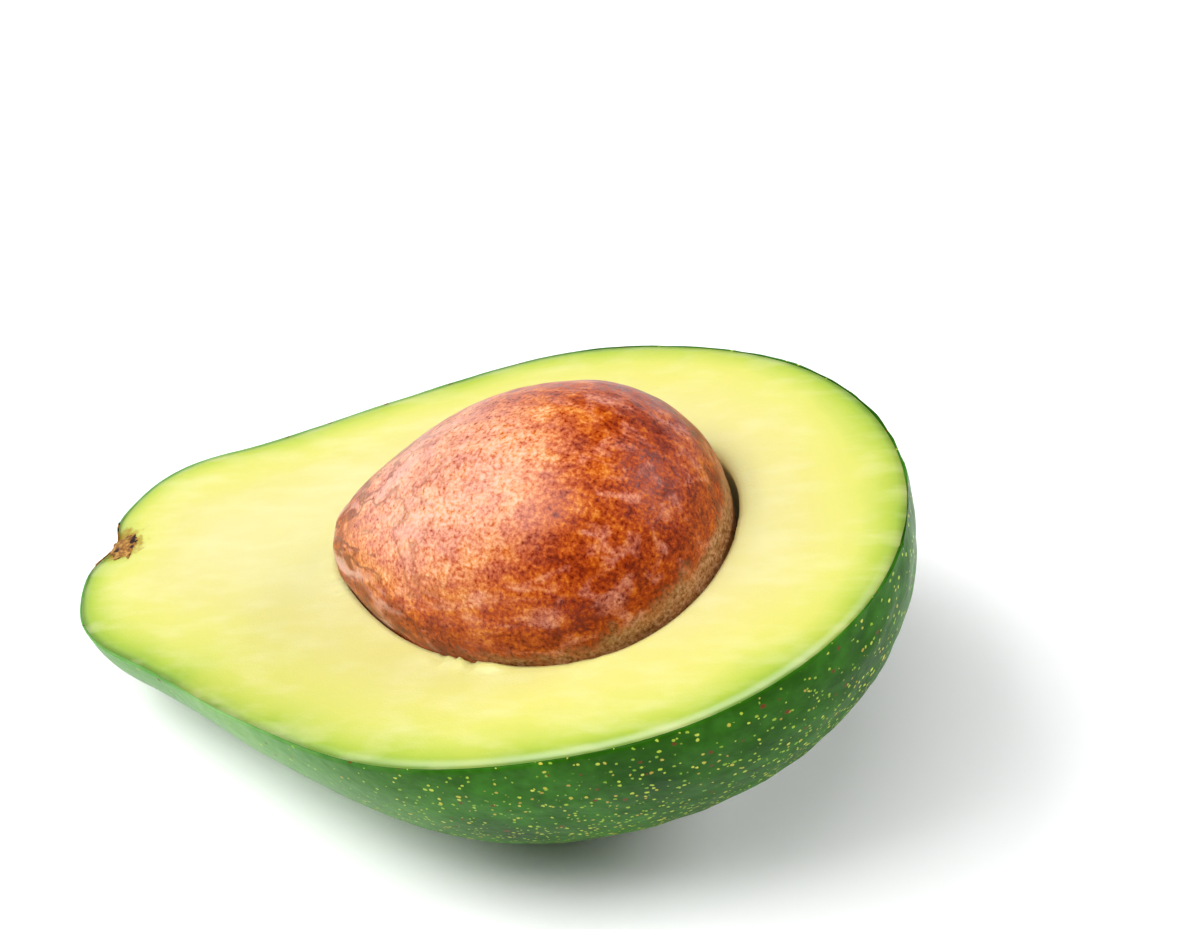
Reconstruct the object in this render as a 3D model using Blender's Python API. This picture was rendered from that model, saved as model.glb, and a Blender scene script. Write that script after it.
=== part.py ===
"""Half an avocado with its stone: cut lengthwise, lying on a small flat spot of its skin.

Everything is modelled in the fruit's own frame first: +X runs along the core from the stem end to the
wide end, and the cut face is the plane Z = 0. The finished pieces are then tipped onto the flat spot.
"""

from math import cos, exp, pi, radians, sin, sqrt

import bmesh
import bpy
from mathutils import Matrix, Vector

MM = 0.001

# The fruit
LENGTH = 112 * MM
# How full the outline is at each share of the length: 1 follows a circle as long as the fruit, halved
FULLNESS = (
    (0.00, 1.50),
    (0.06, 1.19),
    (0.15, 1.01),
    (0.30, 1.08),
    (0.50, 1.26),
    (0.70, 1.34),
    (0.88, 1.41),
    (1.00, 1.42),
)
FULLNESS_TO_RADIUS = 0.5
DEPTH_SHARE = 0.905  # depth below the cut against half the width
BELLY_DEPTH_SHARE = 0.08  # how much deeper the belly is, at BELLY_STATION
BELLY_STATION = 0.58
BELLY_SPREAD = 0.22
CORE_BEND = 2.2 * MM  # sideways bend of the core at either end
DIMPLE_DEPTH = 2.4 * MM
DIMPLE_RADIUS = 3.1 * MM

# The layers
PEEL = 0.7 * MM
GAP = 0.3 * MM  # between neighbouring pieces

# The stone, egg-shaped, its point towards the stem
STONE_LENGTH = 49.8 * MM
STONE_RADIUS = 18.6 * MM
STONE_TAPER = 0.245
STONE_POINT = 2.4 * MM  # how far the small end is drawn out to a point
STONE_LEAN = 2.4 * MM  # how far that point leans to one side
STONE_CENTRE = Vector((65.1 * MM, -1.3 * MM, 0.7 * MM))
STONE_YAW = radians(3)

# The woody seat of the stalk, in the dimple
SCAR_RADIUS = 2.2 * MM
SCAR_START = 2.5 * MM
SCAR_END = 6.0 * MM
SCAR_EDGE = 0.6 * MM

# How it lies
TILT = radians(17.5)  # the wide end is up by this much
FLAT_PRESS = 1.0 * MM  # how far the skin is pressed in where it rests

# Mesh density
RINGS = 40
SIDES = 44
STONE_RINGS = 24
STONE_SIDES = 32
SCAR_SIDES = 20

UP = Vector((sin(TILT), 0, cos(TILT)))  # world up, in the fruit's frame


def clear_scene():
    for obj in list(bpy.data.objects):
        bpy.data.objects.remove(obj)


def material(name, colour, roughness):
    made = bpy.data.materials.new(name)
    made.use_nodes = True
    shader = made.node_tree.nodes["Principled BSDF"]
    shader.inputs["Base Color"].default_value = (*colour, 1)
    shader.inputs["Roughness"].default_value = roughness
    shader.inputs["Metallic"].default_value = 0
    made.diffuse_color = (*colour, 1)
    return made


def through(points, at):
    """The value at `at` of a smooth curve through (place, value) points."""
    last = len(points) - 1
    low = max(i for i in range(last) if points[i][0] <= at or i == 0)
    slopes = []
    for i in (low, low + 1):
        before, after = points[max(i - 1, 0)], points[min(i + 1, last)]
        slopes.append((after[1] - before[1]) / (after[0] - before[0]))
    (start, a), (end, b) = points[low], points[low + 1]
    step = end - start
    t = (at - start) / step
    ease = t * t * (3 - 2 * t)
    bulge = t * (1 - t) * step * ((1 - t) * slopes[0] - t * slopes[1])
    return a + (b - a) * ease + bulge


def half_width(station):
    circle = sqrt(max(station * (1 - station), 0))
    return LENGTH * FULLNESS_TO_RADIUS * circle * through(FULLNESS, station)


def depth_share(station):
    return DEPTH_SHARE + BELLY_DEPTH_SHARE * exp(-(((station - BELLY_STATION) / BELLY_SPREAD) ** 2))


def skin_point(direction):
    """Where the skin lies in a direction from the middle of the fruit, the stem end at -X."""
    station = (1 + max(-1, min(1, direction.x))) / 2
    across = Vector((direction.y, direction.z))
    if across.length > 0:
        across.normalize()
    width = half_width(station)
    radius = width * across.length
    dimple = DIMPLE_DEPTH * exp(-((radius / DIMPLE_RADIUS) ** 2)) if station < 0.5 else 0
    bend = -CORE_BEND * (2 * station - 1) ** 3
    return Vector(
        (
            LENGTH * station + dimple,
            width * across.x + bend,
            width * across.y * depth_share(station),
        )
    )


def ball(rings, sides):
    """A ball of radius 1 with its poles on the X axis."""
    bm = bmesh.new()
    bmesh.ops.create_uvsphere(bm, u_segments=sides, v_segments=rings, radius=1)
    bmesh.ops.rotate(bm, verts=bm.verts, matrix=Matrix.Rotation(-pi / 2, 3, "Y"))
    return bm


def resting_height():
    """Height of the resting plane along UP: the lowest skin, raised by the press."""
    bm = ball(RINGS * 4, 8)
    lowest = min(skin_point(v.co).dot(UP) for v in bm.verts)
    bm.free()
    return lowest + FLAT_PRESS


def whole_fruit(inset):
    """The whole fruit's surface, an even `inset` under the skin and pressed flat where it rests."""
    bm = ball(RINGS, SIDES)
    for vert in bm.verts:
        vert.co = skin_point(vert.co)
    bm.normal_update()
    inward = {vert: vert.normal * inset for vert in bm.verts}
    floor = resting_height() + inset
    for vert, step in inward.items():
        vert.co -= step
        vert.co += UP * max(floor - vert.co.dot(UP), 0)
    return bm


def cut_lengthwise(bm):
    """Keeps the half below the cut plane, open at the top, and returns its rim."""
    geometry = bm.verts[:] + bm.edges[:] + bm.faces[:]
    bmesh.ops.bisect_plane(
        bm, geom=geometry, dist=1e-6, plane_co=(0, 0, 0), plane_no=(0, 0, 1), clear_outer=True
    )
    return [edge for edge in bm.edges if edge.is_boundary]


def add_to(bm, other):
    """Copies another mesh's geometry into this one."""
    carrier = bpy.data.meshes.new("carrier")
    other.to_mesh(carrier)
    other.free()
    bm.from_mesh(carrier)
    bpy.data.meshes.remove(carrier)


def make_object(name, bm, surface, parent=None):
    mesh = bpy.data.meshes.new(name)
    bm.to_mesh(mesh)
    bm.free()
    mesh.shade_smooth()
    obj = bpy.data.objects.new(name, mesh)
    bpy.context.scene.collection.objects.link(obj)
    obj.data.materials.append(surface)
    obj.parent = parent
    return obj


def cut_with(obj, cutter):
    """Subtracts a helper body from a piece and keeps the helper out of the render."""
    cutter.hide_render = True
    cutter.display_type = "WIRE"
    boolean = obj.modifiers.new("cut_" + cutter.name, "BOOLEAN")
    boolean.operation = "DIFFERENCE"
    boolean.solver = "EXACT"
    boolean.object = cutter


def stone_body(clearance):
    """The egg-shaped stone, or the hollow it sits in when there is a clearance."""
    bm = ball(STONE_RINGS, STONE_SIDES)
    for vert in bm.verts:
        along = vert.co.x
        swell = (STONE_RADIUS + clearance) * (1 + STONE_TAPER * along)
        point = STONE_POINT * max(-along, 0) ** 8
        lean = STONE_LEAN * max(-along, 0) ** 3
        x = along * (STONE_LENGTH / 2 + clearance) - point
        vert.co = Vector((x, vert.co.y * swell + lean, vert.co.z * swell))
    turn = Matrix.Rotation(STONE_YAW, 4, "Z")
    bmesh.ops.transform(bm, verts=bm.verts, matrix=Matrix.Translation(STONE_CENTRE) @ turn)
    return bm


def stalk_plug(radius, start, end):
    """A round plug along the core, from start to end."""
    bm = bmesh.new()
    bmesh.ops.create_cone(
        bm, cap_ends=True, segments=SCAR_SIDES, radius1=radius, radius2=radius, depth=end - start
    )
    place = Matrix.Translation(((start + end) / 2, CORE_BEND, 0)) @ Matrix.Rotation(pi / 2, 4, "Y")
    bmesh.ops.transform(bm, verts=bm.verts, matrix=place)
    return bm


def make_peel(surface, parent, stalk_hole):
    bm = whole_fruit(0)
    cut_lengthwise(bm)
    inner = whole_fruit(PEEL)
    cut_lengthwise(inner)
    bmesh.ops.reverse_faces(inner, faces=inner.faces)
    add_to(bm, inner)
    rims = [edge for edge in bm.edges if edge.is_boundary]
    bmesh.ops.bridge_loops(bm, edges=rims)
    bmesh.ops.recalc_face_normals(bm, faces=bm.faces)
    peel = make_object("peel", bm, surface, parent)
    cut_with(peel, stalk_hole)
    return peel


def make_flesh(surface, parent, stone_hollow, stalk_hole):
    bm = whole_fruit(PEEL + GAP)
    rim = cut_lengthwise(bm)
    bmesh.ops.edgeloop_fill(bm, edges=rim)
    bmesh.ops.recalc_face_normals(bm, faces=bm.faces)
    flesh = make_object("flesh", bm, surface, parent)
    cut_with(flesh, stone_hollow)
    cut_with(flesh, stalk_hole)
    return flesh


def make_stone(surface, parent):
    return make_object("stone", stone_body(0), surface, parent)


def make_stem_scar(surface, parent):
    bm = stalk_plug(SCAR_RADIUS, SCAR_START, SCAR_END)
    rounded = [edge for edge in bm.edges if len(edge.link_faces) == 2 and edge.calc_face_angle() > 1]
    bmesh.ops.bevel(bm, geom=rounded, offset=SCAR_EDGE, segments=2, profile=0.5, affect="EDGES")
    bmesh.ops.edgeloop_fill(bm, edges=cut_lengthwise(bm))
    bmesh.ops.recalc_face_normals(bm, faces=bm.faces)
    return make_object("stem_scar", bm, surface, parent)


def settle(parent, pieces):
    """Tips the fruit onto its flat spot and centres it over the origin."""
    parent.rotation_euler = (0, -TILT, 0)
    bpy.context.view_layer.update()
    graph = bpy.context.evaluated_depsgraph_get()
    corners = []
    for piece in pieces:
        evaluated = piece.evaluated_get(graph)
        corners += [evaluated.matrix_world @ vert.co for vert in evaluated.data.vertices]
    low = Vector([min(corner[i] for corner in corners) for i in range(3)])
    high = Vector([max(corner[i] for corner in corners) for i in range(3)])
    parent.location = -Vector(((low.x + high.x) / 2, (low.y + high.y) / 2, low.z))


def main():
    clear_scene()
    green = material("avocado_skin", (0.045, 0.15, 0.03), 0.35)
    cream = material("avocado_flesh", (0.85, 0.82, 0.35), 0.45)
    brown = material("avocado_stone", (0.50, 0.16, 0.06), 0.4)
    bark = material("stalk_wood", (0.25, 0.13, 0.04), 0.8)

    fruit = bpy.data.objects.new("fruit", None)
    bpy.context.scene.collection.objects.link(fruit)

    hollow = make_object("stone_hollow", stone_body(GAP), cream, fruit)
    hole_end = SCAR_END + GAP
    stalk_hole = make_object(
        "stalk_hole", stalk_plug(SCAR_RADIUS + GAP, -hole_end, hole_end), cream, fruit
    )

    pieces = [
        make_peel(green, fruit, stalk_hole),
        make_flesh(cream, fruit, hollow, stalk_hole),
        make_stone(brown, fruit),
        make_stem_scar(bark, fruit),
    ]
    settle(fruit, pieces)


main()
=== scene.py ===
"""The finished look of a half avocado with its stone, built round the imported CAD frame.

The fruit's own frame, used while a piece is shaped, has +X along the core from the stem end to the wide
end and the cut face in the plane Z = 0. Each finished piece is then tipped onto the fruit's flat spot.
"""

from math import atan2, cos, exp, pi, radians, sin, sqrt

import bmesh
import bpy
from bpy.props import FloatProperty, FloatVectorProperty, PointerProperty
from bpy.types import Operator, Panel, PropertyGroup
from mathutils import Matrix, Vector, noise
from mathutils.bvhtree import BVHTree


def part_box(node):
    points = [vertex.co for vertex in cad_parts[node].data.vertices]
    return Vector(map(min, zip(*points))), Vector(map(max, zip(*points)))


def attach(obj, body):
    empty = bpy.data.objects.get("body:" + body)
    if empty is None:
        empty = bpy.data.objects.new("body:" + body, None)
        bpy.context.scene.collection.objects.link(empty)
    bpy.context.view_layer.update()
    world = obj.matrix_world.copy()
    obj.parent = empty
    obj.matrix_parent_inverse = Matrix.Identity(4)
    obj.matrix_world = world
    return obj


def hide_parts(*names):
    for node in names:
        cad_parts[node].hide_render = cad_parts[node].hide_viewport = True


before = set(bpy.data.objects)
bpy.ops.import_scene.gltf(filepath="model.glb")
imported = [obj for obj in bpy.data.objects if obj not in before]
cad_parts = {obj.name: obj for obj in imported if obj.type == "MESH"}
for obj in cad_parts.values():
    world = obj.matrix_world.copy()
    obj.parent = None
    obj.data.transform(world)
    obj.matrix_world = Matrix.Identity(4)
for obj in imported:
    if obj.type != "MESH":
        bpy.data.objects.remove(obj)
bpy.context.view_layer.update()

bl_info = {
    "name": "Half avocado",
    "version": (1, 0, 0),
    "blender": (4, 5, 0),
    "location": "3D View > Sidebar > Avocado",
    "description": "Builds a half avocado with its stone, and a plain studio round it",
    "category": "Object",
}

MM = 0.001
BODY = "root"

# How full the outline is at each share of the length: 1 follows a circle as long as the fruit, halved
FULLNESS = (
    (0.00, 1.50),
    (0.06, 1.19),
    (0.15, 1.01),
    (0.30, 1.08),
    (0.50, 1.26),
    (0.70, 1.34),
    (0.88, 1.41),
    (1.00, 1.42),
)
FULLNESS_TO_RADIUS = 0.5
BELLY_STATION = 0.58
BELLY_SPREAD = 0.22

# Mesh density
SKIN_RINGS = 150
SKIN_SIDES = 200
STONE_RINGS = 110
STONE_SIDES = 160
FACE_STEPS = 46  # rings of the cut face between the peel and the hollow
FACE_CROWDING = 1.35  # above 1, those rings lie closer together near the peel
HOLLOW_STEPS = 26  # rings from the hollow's edge to its bottom
SCAR_RINGS = 48
SCAR_SIDES = 64
LOWEST_RINGS = 160  # of the ball that only finds the lowest skin
LOWEST_SIDES = 8
BOX_RINGS = 60  # of the ball that only finds the half fruit's box
BOX_SIDES = 120
ON_THE_CUT = 1e-7  # a point this close to the cut plane, in metres, lies on it

# The skin's relief: how far apart its dents, pebbles and grains are
DENTS = 13 * MM
PEBBLES = 4.2 * MM
GRAINS = 1.9 * MM

# The cut face, as the knife left it
PEEL_TO_FLESH = 0.03 * MM
LONG_WAVES = 11 * MM  # how far apart, and how high below
LONG_WAVE_HEIGHT = 0.10 * MM
SHORT_WAVES = 3 * MM
SHORT_WAVE_HEIGHT = 0.03 * MM
WAVES_FROM = 3 * MM  # in from the peel, where the waves have their full height
ROUNDED_FOR = 1.2 * MM  # in from the peel, where its rounded edge ends

# The hollow's edge: rounded all round and more so at the round end, and torn in a few spots
LIP_DROP = 0.06 * MM
LIP_END_DROP = 0.3 * MM
LIP_WIDTH = 0.8 * MM
TORN_FULLY = 0.3 * MM  # from the hollow's edge
TORN_WIDTH = 2.4 * MM
CRUMBS = 1.5 * MM
SMALL_CRUMBS = 0.6 * MM
CRUMB_HEIGHT = 0.8 * MM
TORN_SIDE = Vector((-0.1, -0.995, 0))  # from the stone's centre to the most torn spot

# The stone's relief
STONE_BUMPS = 0.35 * MM
STONE_RIPPLES = 0.14 * MM
STONE_GRAIN = 0.05 * MM
STONE_RIDGES = 0.16 * MM
RIDGE_COUNT = 9  # round the small end

# The stalk's seat in the dimple, and the papery flake round it
SCAR_RADIUS = 1.9 * MM
SCAR_ALONG = 4.2 * MM  # its centre, from the stem end
SCAR_ASIDE = 0.4 * MM  # its centre, from the core
SCAR_PROUD = 0.12 * MM  # how far it stands out of the cut face
STAIN_ALONG = 3.2 * MM  # centre of the stained flesh, from the stem end
FLAKE_ALONG = 2.4 * MM  # its centre, from the stem end
FLAKE_REACH = 3.9 * MM
FLAKE_TEARS = 1.6 * MM  # how far apart the tears in its edge are
FLAKE_THICKNESS = 0.14 * MM
FLAKE_LIFT = 0.04 * MM  # off the skin
FLAKE_BLANK = 7 * MM  # reach of the piece of skin that it is torn from

# The studio
FLOOR_HALF = 1.5  # half the floor's side, in metres
SENSOR_WIDTH = 36  # millimetres
SOFTBOX_DISTANCE = 2.2  # metres
# Name, azimuth and elevation in degrees, width and height in metres, share of the floor's brightness
SOFTBOXES = (
    ("key_softbox", 207, 57, 1.5, 1.3, 0.84),
    ("front_softbox", 275, 74, 1.1, 0.9, 0.36),
    ("left_softbox", 190, 34, 0.9, 0.9, 0.10),
    ("right_softbox", 32, 38, 1.7, 0.8, 0.40),
)


# ---------------------------------------------------------------- sizes and colours a user would change


def linear(hex_colour):
    """A linear RGBA colour from an sRGB hex value."""
    parts = [int(hex_colour[i : i + 2], 16) / 255 for i in (1, 3, 5)]
    return (*(c / 12.92 if c <= 0.04045 else ((c + 0.055) / 1.055) ** 2.4 for c in parts), 1)


def length_prop(name, description, default):
    return FloatProperty(
        name=name, description=description, default=default, unit="LENGTH", precision=5
    )


def angle_prop(name, description, default):
    return FloatProperty(name=name, description=description, default=default, subtype="ANGLE")


def share_prop(name, description, default):
    return FloatProperty(
        name=name, description=description, default=default, subtype="FACTOR", soft_min=0, soft_max=1
    )


def colour_prop(name, description, hex_colour):
    return FloatVectorProperty(
        name=name,
        description=description,
        default=linear(hex_colour),
        subtype="COLOR",
        size=4,
        min=0,
        max=1,
    )


class FruitSizes(PropertyGroup):
    """Sizes of the whole fruit, which its pieces share."""

    length: length_prop("Length", "From the stem end to the wide end", 112 * MM)
    depth_share: share_prop("Depth share", "Depth below the cut against half the width", 0.905)
    belly_depth: share_prop("Belly depth", "How much deeper the belly is than the ends", 0.08)
    core_bend: length_prop("Core bend", "Sideways bend of the core at each end", 2.2 * MM)
    dimple_depth: length_prop("Dimple depth", "Depth of the dimple at the stalk", 2.4 * MM)
    dimple_radius: length_prop("Dimple radius", "Reach of the dimple at the stalk", 3.1 * MM)
    peel: length_prop("Peel", "Thickness of the skin", 0.25 * MM)
    tilt: angle_prop("Tilt", "How far the wide end is up", radians(17.5))
    press: length_prop("Press", "How far the skin is pressed in where it rests", 1.0 * MM)
    edge_drop: length_prop("Edge drop", "How far the cut is rounded down at the skin", 0.25 * MM)
    wrinkle: length_prop("Wrinkle", "Height of the skin's pebbled relief", 0.22 * MM)


class StoneSizes(PropertyGroup):
    """Sizes of the stone and of the hollow round it."""

    length: length_prop("Length", "Of the egg shape before its small end is drawn out", 49.8 * MM)
    radius: length_prop("Radius", "Half the stone's width before its taper", 18.6 * MM)
    taper: share_prop("Taper", "How much the stone widens away from the stem", 0.245)
    point: length_prop("Point", "How far the small end is drawn out to a point", 2.4 * MM)
    lean: length_prop("Lean", "How far that point leans to one side", 2.4 * MM)
    centre: FloatVectorProperty(
        name="Centre",
        description="The stone's centre in the fruit's frame",
        default=(65.1 * MM, -1.3 * MM, 0.7 * MM),
        subtype="TRANSLATION",
    )
    yaw: angle_prop("Yaw", "Turn of the stone about the cut face's normal", radians(3))
    clearance: length_prop("Clearance", "Gap round the stone", 0.06 * MM)
    end_clearance: length_prop("End clearance", "Extra gap at the stone's round end", 0.8 * MM)


class FruitColours(PropertyGroup):
    """The main colour of each finish; the lighter and darker shades beside it stay as they are."""

    rind: colour_prop("Rind", "Middle shade of the skin on the belly", "#265706")
    # Painted sheen: the neck's paler, mintier green stands in for light reflected off it
    neck: colour_prop("Neck", "Middle shade of the skin on the neck", "#689D4F")
    dots: colour_prop("Dots", "The larger pale dots on the skin", "#BDB545")
    cork: colour_prop("Cork", "The corky specks on the skin", "#6A3E1C")
    edge: colour_prop("Edge", "The flesh just under the skin", "#4E7020")
    flesh: colour_prop("Flesh", "The flesh furthest from the skin", "#D2CB8B")
    stone: colour_prop("Stone", "Middle shade of the stone's coat", "#AE4804")
    # On the stone's upper shoulder this film is partly a painted highlight
    film: colour_prop("Film", "The papery film on the stone", "#DFABA0")
    stalk: colour_prop("Stalk", "Middle shade of the stalk's wood", "#94611C")


class StudioSettings(PropertyGroup):
    """The camera and the lights."""

    target: FloatVectorProperty(
        name="Target",
        description="The point that the camera looks at",
        default=(7.8 * MM, 23.5 * MM, 25 * MM),
        subtype="TRANSLATION",
    )
    distance: length_prop("Distance", "From the target to the camera", 360.7 * MM)
    azimuth: angle_prop("Azimuth", "Camera's turn about the vertical", radians(20.55))
    elevation: angle_prop("Elevation", "Camera's height above the floor", radians(44.87))
    roll: angle_prop("Roll", "Camera's turn about its own axis", radians(-4.27))
    lens: FloatProperty(name="Lens", description="Focal length", default=85, unit="CAMERA")


# ---------------------------------------------------------------- shaping the fruit


def through(points, at):
    """The value at `at` of a smooth curve through (place, value) points."""
    last = len(points) - 1
    low = max(i for i in range(last) if points[i][0] <= at or i == 0)
    slopes = []
    for i in (low, low + 1):
        before, after = points[max(i - 1, 0)], points[min(i + 1, last)]
        slopes.append((after[1] - before[1]) / (after[0] - before[0]))
    (start, a), (end, b) = points[low], points[low + 1]
    step = end - start
    t = (at - start) / step
    ease = t * t * (3 - 2 * t)
    bulge = t * (1 - t) * step * ((1 - t) * slopes[0] - t * slopes[1])
    return a + (b - a) * ease + bulge


def ease_between(low, high, value):
    """0 below low, 1 above high and smooth between them; low may be the larger."""
    t = max(0.0, min(1.0, (value - low) / (high - low)))
    return t * t * (3 - 2 * t)


def ball(rings, sides):
    """A ball of radius 1 with its poles on the X axis."""
    bm = bmesh.new()
    bmesh.ops.create_uvsphere(bm, u_segments=sides, v_segments=rings, radius=1)
    bmesh.ops.rotate(bm, verts=bm.verts, matrix=Matrix.Rotation(-pi / 2, 3, "Y"))
    return bm


def skin_point(fruit, direction):
    """Where the skin lies in a direction from the middle of the fruit, the stem end at -X."""
    station = (1 + max(-1, min(1, direction.x))) / 2
    across = Vector((direction.y, direction.z))
    if across.length > 0:
        across.normalize()
    circle = sqrt(max(station * (1 - station), 0))
    width = fruit.length * FULLNESS_TO_RADIUS * circle * through(FULLNESS, station)
    radius = width * across.length
    dimple = fruit.dimple_depth * exp(-((radius / fruit.dimple_radius) ** 2)) if station < 0.5 else 0
    belly = exp(-(((station - BELLY_STATION) / BELLY_SPREAD) ** 2))
    depth = fruit.depth_share + fruit.belly_depth * belly
    bend = -fruit.core_bend * (2 * station - 1) ** 3
    return Vector(
        (fruit.length * station + dimple, width * across.x + bend, width * across.y * depth)
    )


def up_in_fruit(fruit):
    """The world's up, in the fruit's frame."""
    return Vector((sin(fruit.tilt), 0, cos(fruit.tilt)))


def resting_height(fruit):
    """Height of the resting plane along the world's up, in the fruit's frame."""
    up = up_in_fruit(fruit)
    bm = ball(LOWEST_RINGS, LOWEST_SIDES)
    lowest = min(skin_point(fruit, v.co).dot(up) for v in bm.verts)
    bm.free()
    return lowest + fruit.press


def pebbles(fruit, place):
    """Height of the skin's relief: broad dents, then pebbles that grow towards the wide end."""
    share = place.x / fruit.length
    # The added vectors only keep the patterns from lining up
    dent = noise.noise(place / DENTS)
    pebble = noise.noise(place / PEBBLES + Vector((7, 3, 1)))
    grain = noise.noise(place / GRAINS + Vector((1, 9, 4)))
    grown = 0.35 + 0.9 * ease_between(0.35, 1, share)
    return fruit.wrinkle * (0.45 * dent + grown * (0.75 * pebble + 0.3 * grain))


def whole_fruit(fruit, inset, relief=False):
    """The whole fruit's surface, an even `inset` under the skin and pressed flat where it rests."""
    bm = ball(SKIN_RINGS, SKIN_SIDES)
    for vert in bm.verts:
        vert.co = skin_point(fruit, vert.co)
    bm.normal_update()
    moves = {}
    for vert in bm.verts:
        height = -inset
        if relief:
            height += pebbles(fruit, vert.co)
        moves[vert] = vert.normal * height
    up = up_in_fruit(fruit)
    floor = resting_height(fruit) + inset
    for vert, move in moves.items():
        flat_edge = abs(vert.co.z) < ON_THE_CUT
        vert.co += move
        vert.co += up * max(floor - vert.co.dot(up), 0)
        if flat_edge:
            vert.co.z = 0
    return bm


def cut_lengthwise(bm):
    """Keeps the half below the cut plane, open at the top, and returns its rim."""
    geometry = bm.verts[:] + bm.edges[:] + bm.faces[:]
    bmesh.ops.bisect_plane(
        bm, geom=geometry, dist=1e-6, plane_co=(0, 0, 0), plane_no=(0, 0, 1), clear_outer=True
    )
    return [edge for edge in bm.edges if edge.is_boundary]


def new_mesh(name, bm):
    """A mesh with the bmesh's geometry, which is then freed."""
    mesh = bpy.data.meshes.new(name)
    bm.to_mesh(mesh)
    bm.free()
    return mesh


def new_object(name, data):
    """An object with this data, put in the scene."""
    made = bpy.data.objects.new(name, data)
    bpy.context.scene.collection.objects.link(made)
    return made


def add_to(bm, other):
    """Moves another bmesh's geometry into this one."""
    carrier = new_mesh("carrier", other)
    bm.from_mesh(carrier)
    bpy.data.meshes.remove(carrier)


def fruit_to_world(fruit):
    """Tips the fruit's frame onto its flat spot, and lays it where the CAD peel lies."""
    tip = Matrix.Rotation(-fruit.tilt, 4, "Y")
    bm = ball(BOX_RINGS, BOX_SIDES)
    half = [tip @ skin_point(fruit, v.co) for v in bm.verts if v.co.z < 1e-6]
    bm.free()
    low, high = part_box("peel")
    middle_x = (min(p.x for p in half) + max(p.x for p in half)) / 2
    middle_y = (min(p.y for p in half) + max(p.y for p in half)) / 2
    across = (low[0] + high[0]) / 2 - middle_x
    aside = (low[1] + high[1]) / 2 - middle_y
    upwards = low[2] - resting_height(fruit)
    return Matrix.Translation((across, aside, upwards)) @ tip


def egg(stone):
    """The stone's plain egg shape, each point of it holding its direction from the centre."""
    bm = ball(STONE_RINGS, STONE_SIDES)
    own = bm.verts.layers.float_vector.new("stone_place")
    for vert in bm.verts:
        along = vert.co.x
        vert[own] = vert.co
        swell = stone.radius * (1 + stone.taper * along)
        x = along * stone.length / 2 - stone.point * max(-along, 0) ** 8
        lean = stone.lean * max(-along, 0) ** 3
        vert.co = Vector((x, vert.co.y * swell + lean, vert.co.z * swell))
    bm.normal_update()
    return bm, own


def hollow_wall(stone):
    """The wall of the hollow round the stone, for ray casts in the fruit's frame."""
    bm, own = egg(stone)
    for vert in bm.verts:
        end = ease_between(0.1, 0.95, vert[own].x)
        vert.co += vert.normal * (stone.clearance + stone.end_clearance * end)
    bmesh.ops.transform(bm, verts=bm.verts, matrix=stone_to_fruit(stone))
    wall = BVHTree.FromBMesh(bm)
    bm.free()
    return wall


def stone_to_fruit(stone):
    """The stone's place and turn in the fruit's frame."""
    return Matrix.Translation(stone.centre) @ Matrix.Rotation(stone.yaw, 4, "Z")


# ---------------------------------------------------------------- materials


def new_material(name):
    """An empty material with its shader and output, and its node tree."""
    made = bpy.data.materials.new(name)
    made.use_nodes = True
    return made, made.node_tree, made.node_tree.nodes["Principled BSDF"]


def add(tree, kind, settings=None, inputs=None, stops=None):
    """Adds a node; `inputs` holds values or other nodes' outputs, `stops` a ramp's colours."""
    made = tree.nodes.new(kind)
    for name, value in (settings or {}).items():
        setattr(made, name, value)
    for key, value in (inputs or {}).items():
        if isinstance(value, bpy.types.NodeSocket):
            tree.links.new(value, made.inputs[key])
        else:
            made.inputs[key].default_value = value
    if stops:
        ramp = made.color_ramp.elements
        while len(ramp) < len(stops):
            ramp.new(1)
        for element, (place, colour) in zip(ramp, stops):
            element.position = place
            element.color = linear(colour) if isinstance(colour, str) else colour
    return made.outputs


COORDINATES = "ShaderNodeTexCoord"
MATH = "ShaderNodeMath"
VECTOR_MATH = "ShaderNodeVectorMath"
RANGE = "ShaderNodeMapRange"
NOISE = "ShaderNodeTexNoise"
CELLS = "ShaderNodeTexVoronoi"
RAMP = "ShaderNodeValToRGB"
BLEND = "ShaderNodeMix"
BUMP = "ShaderNodeBump"
ATTRIBUTE = "ShaderNodeAttribute"
COLOUR_BLEND = {"data_type": "RGBA"}
SMOOTH = {"interpolation_type": "SMOOTHSTEP"}
TIMES = {"operation": "MULTIPLY"}
TIMES_PLUS = {"operation": "MULTIPLY_ADD"}
# Sockets of a colour Mix node
FACTOR, UNDER, OVER, MIXED = 0, 6, 7, 2


def dots(tree, place, spacing, reach, share=1.0):
    """Scattered ragged dots, and a random colour for each.

    `reach` is the largest dot's radius as a share of their spacing, and `share` how many are there.
    """
    # Ragged by up to 0.2 mm, over 0.6 mm
    ripple = add(tree, NOISE, inputs={"Vector": place, "Scale": 1 / 0.0006, "Detail": 2.0})["Color"]
    bend = (0.0004, 0.0004, 0.0004)
    bent = add(tree, VECTOR_MATH, TIMES_PLUS, {0: ripple, 1: bend, 2: place})["Vector"]
    cells = add(tree, CELLS, inputs={"Vector": bent, "Scale": 1 / spacing})
    own = add(tree, "ShaderNodeSeparateColor", inputs={"Color": cells["Color"]})
    sizes = {"Value": own["Red"], "To Min": 0.45 * reach, "To Max": reach}
    radius = add(tree, RANGE, inputs=sizes)["Result"]
    core = add(tree, MATH, TIMES, {0: radius, 1: 0.7})[0]
    rim = {"Value": cells["Distance"], "From Min": radius, "From Max": core}
    inside = add(tree, RANGE, SMOOTH, rim)["Result"]
    there = add(tree, MATH, {"operation": "LESS_THAN"}, {0: own["Blue"], 1: share})[0]
    return add(tree, MATH, TIMES, {0: inside, 1: there})[0], own


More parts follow.
